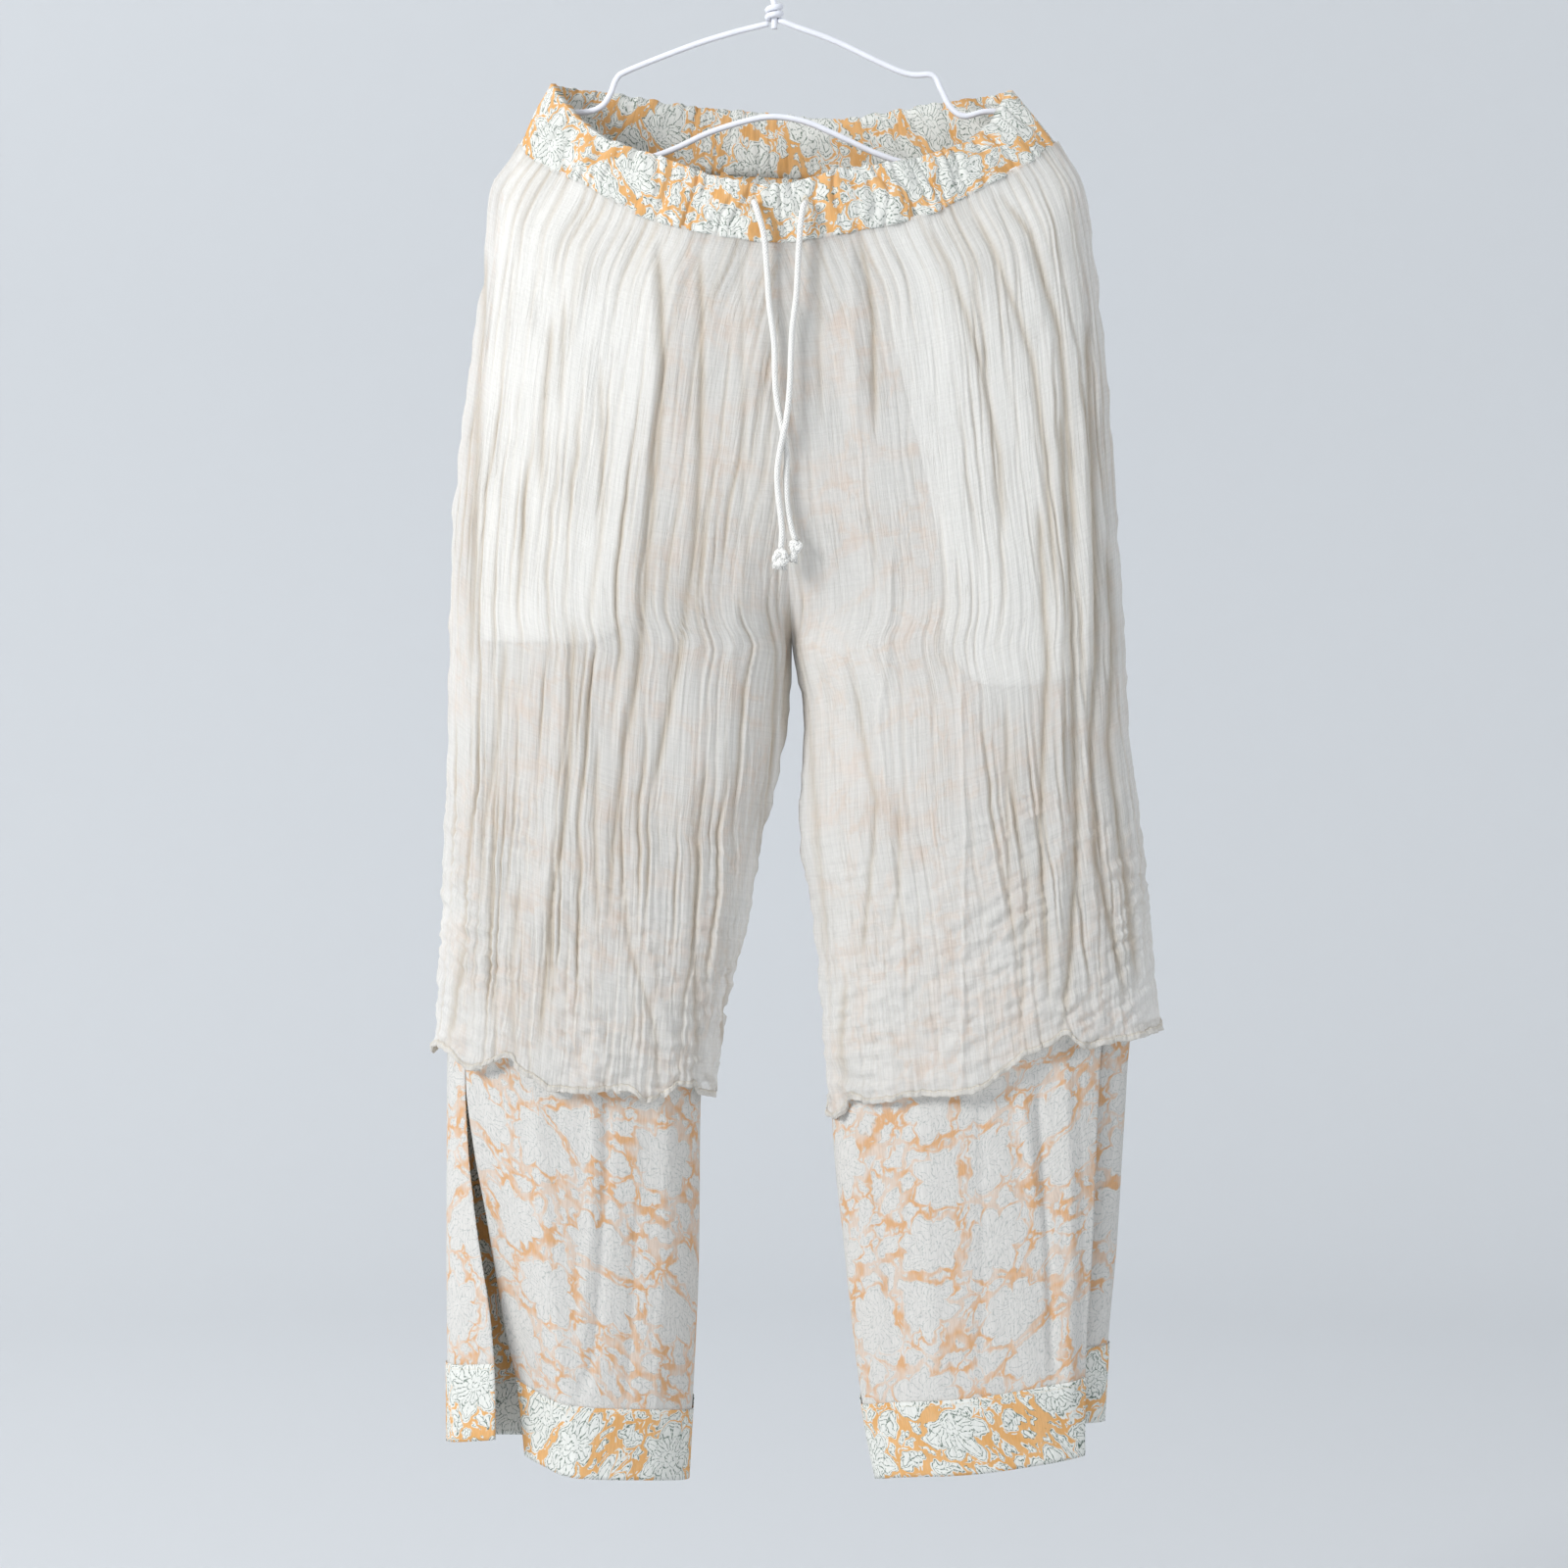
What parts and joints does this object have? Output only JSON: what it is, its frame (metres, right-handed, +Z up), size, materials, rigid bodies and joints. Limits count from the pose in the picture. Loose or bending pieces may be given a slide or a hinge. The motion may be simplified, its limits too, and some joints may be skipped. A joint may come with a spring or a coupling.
{
  "type": "pleated trousers on a wire hanger",
  "caption": "Crinkled gauze and printed cotton trousers, inside out on a coated wire hanger, with elastic waist, drawstring, pocket bags, side slits and turned-up hems.",
  "frame": {"origin": "inner crown of the hanger's hook, where a rail or peg carries it", "axes": "+Z up, the trousers hang down from the hook along -Z; the front with the drawstring faces -Y; +X is to the viewer's right, seen from the front"},
  "size_m": [0.4833, 0.1313, 1.0344],
  "materials": {
    "crinkle_gauze": "semi-sheer crinkled cotton gauze, cream, matt",
    "printed_cotton_wrong_side": "wrong side of printed plain-weave cotton, off-white with the print showing faintly through",
    "printed_cotton_face": "face of block-printed plain-weave cotton, ochre with off-white flowers",
    "pocket_cotton": "plain white cotton",
    "cotton_cord": "braided white cotton cord",
    "coated_wire": "bluish-white plastic coating on steel wire"
  },
  "bodies": {
    "root": {"drawstring_knot_left": "cotton_cord", "drawstring_knot_right": "cotton_cord", "drawstring_left": "cotton_cord", "drawstring_right": "cotton_cord", "gauze_back_left": "crinkle_gauze", "gauze_back_right": "crinkle_gauze", "gauze_front_left": "crinkle_gauze", "gauze_front_right": "crinkle_gauze", "hanger_frame": "coated_wire", "hanger_hook": "coated_wire", "hem_turn_up_back_left": "printed_cotton_face", "hem_turn_up_back_right": "printed_cotton_face", "hem_turn_up_front_left": "printed_cotton_face", "hem_turn_up_front_right": "printed_cotton_face", "pocket_bag_left": "pocket_cotton", "pocket_bag_right": "pocket_cotton", "print_back_left": "printed_cotton_wrong_side", "print_back_right": "printed_cotton_wrong_side", "print_front_left": "printed_cotton_wrong_side", "print_front_right": "printed_cotton_wrong_side", "waistband_back": "printed_cotton_face", "waistband_front": "printed_cotton_face"}
  },
  "joints": []
}
